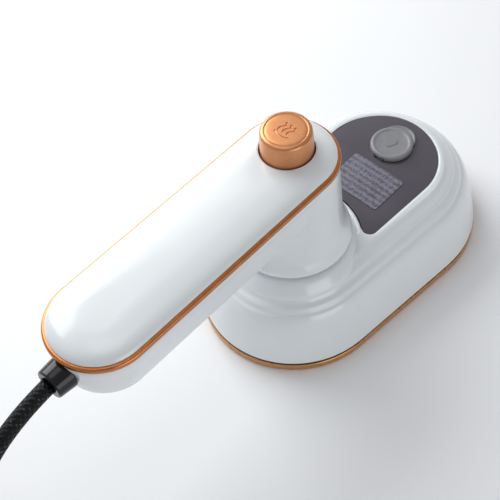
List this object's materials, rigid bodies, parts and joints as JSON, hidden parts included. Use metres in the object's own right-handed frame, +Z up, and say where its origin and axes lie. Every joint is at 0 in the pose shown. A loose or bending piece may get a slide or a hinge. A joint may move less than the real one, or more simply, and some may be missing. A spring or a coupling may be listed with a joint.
{
  "type": "handheld steamer",
  "caption": "Compact handheld garment steamer: flat oval ironing head with a water tank, a handle that swivels over it, a copper-coloured steam button and a braided cord.",
  "frame": {"origin": "where the handle's upright swivel axis meets the ironing face of the soleplate", "axes": "+Z up out of the ironing face, +X from the swivel axis towards the water tank, +Y to the side; the unfolded handle points to -X"},
  "size_m": [0.3915, 0.0988, 0.1129],
  "materials": {
    "copper_sole": "copper-coloured ceramic coating",
    "heat_black": "matte heat-proof plastic",
    "white_gloss": "gloss",
    "smoked": "gloss smoked plastic",
    "stopper_grey": "soft satin rubber-like plastic",
    "label": "frosted film",
    "copper_trim": "metallised, satin copper",
    "copper_button": "metallised, satin copper",
    "black_gloss": "gloss black",
    "black_braid": "braided textile sleeve",
    "black_rubber": "matte moulded rubber",
    "casting": "as cast",
    "steel": "bright zinc plate",
    "brass": "plain",
    "ceramic": "unglazed",
    "silicone": "matte silicone",
    "clear_silicone": "matte silicone",
    "tank_clear": "translucent",
    "inner_black": "matte glass-filled plastic",
    "inner_white": "matte",
    "lead_brown": "insulated wire",
    "lead_blue": "insulated wire"
  },
  "bodies": {
    "head": {"soleplate": "copper_sole", "heat_shield_ring": "heat_black", "steam_chamber": "casting", "heating_element": "steel", "heater_terminals": "steel", "terminal_beads": "ceramic", "chamber_gasket": "silicone", "chamber_cover": "casting", "cover_screws": "steel", "thermostat": "ceramic", "thermostat_cup": "steel", "thermal_fuse": "ceramic", "inner_frame": "inner_black", "frame_screws": "steel", "pump_body": "inner_white", "pump_valve": "clear_silicone", "pump_spring": "steel", "dosing_tube": "clear_silicone", "inlet_hose": "clear_silicone", "head_shell": "white_gloss", "shell_screws": "steel", "water_tank": "tank_clear", "tank_seal": "silicone", "tank_window": "smoked", "stopper_pin": "steel", "label_patch": "label", "swivel_bush": "brass", "swivel_washer": "inner_white", "head_lead_live": "lead_brown", "head_lead_neutral": "lead_blue"},
    "stopper": {"filler_stopper": "stopper_grey"},
    "plunger": {"pump_plunger": "inner_white"},
    "handle": {"swivel_spindle": "steel", "spindle_screws": "steel", "retaining_ring": "steel", "handle_lower_shell": "white_gloss", "handle_trim": "copper_trim", "handle_top_cover": "white_gloss", "handle_screws": "steel", "button_bezel": "white_gloss", "button_guide": "inner_white", "button_spring": "steel", "handle_lead_live": "lead_brown", "handle_lead_neutral": "lead_blue", "terminal_block": "inner_white", "terminal_screws": "brass", "supply_leads": "lead_brown", "cord_clamp": "inner_white", "clamp_screws": "steel", "cord_gland": "black_gloss", "cord_tail": "black_braid", "power_cord": "black_braid", "cord_coil": "black_braid", "plug_body": "black_rubber", "plug_blades": "brass"},
    "button": {"steam_button": "copper_button", "push_rod": "inner_white"}
  },
  "joints": [
    {"name": "handle_swing", "type": "hinge", "parent": "head", "child": "handle", "pos_m": [0, 0, 0.05], "axis": [0, 0, 1], "range_deg": [0, 180]},
    {"name": "stopper_lift", "type": "hinge", "parent": "head", "child": "stopper", "pos_m": [0.0608, 0, 0.0435], "axis": [0, -1, 0], "range_deg": [0, 95]},
    {"name": "steam_button_press", "type": "slide", "parent": "handle", "child": "button", "axis": [0, 0, -1], "range_m": [0, 0.004], "stiffness_N_per_m": 600, "springref_m": -0.003, "deforming": ["button_spring"]},
    {"name": "pump_plunger_slide", "type": "slide", "parent": "head", "child": "plunger", "axis": [0, 0, -1], "range_m": [0, 0.004], "stiffness_N_per_m": 300, "springref_m": -0.003, "deforming": ["pump_spring"]}
  ],
  "couplings": [
    {"joint": "pump_plunger_slide", "follows": "steam_button_press", "ratio": 1}
  ]
}
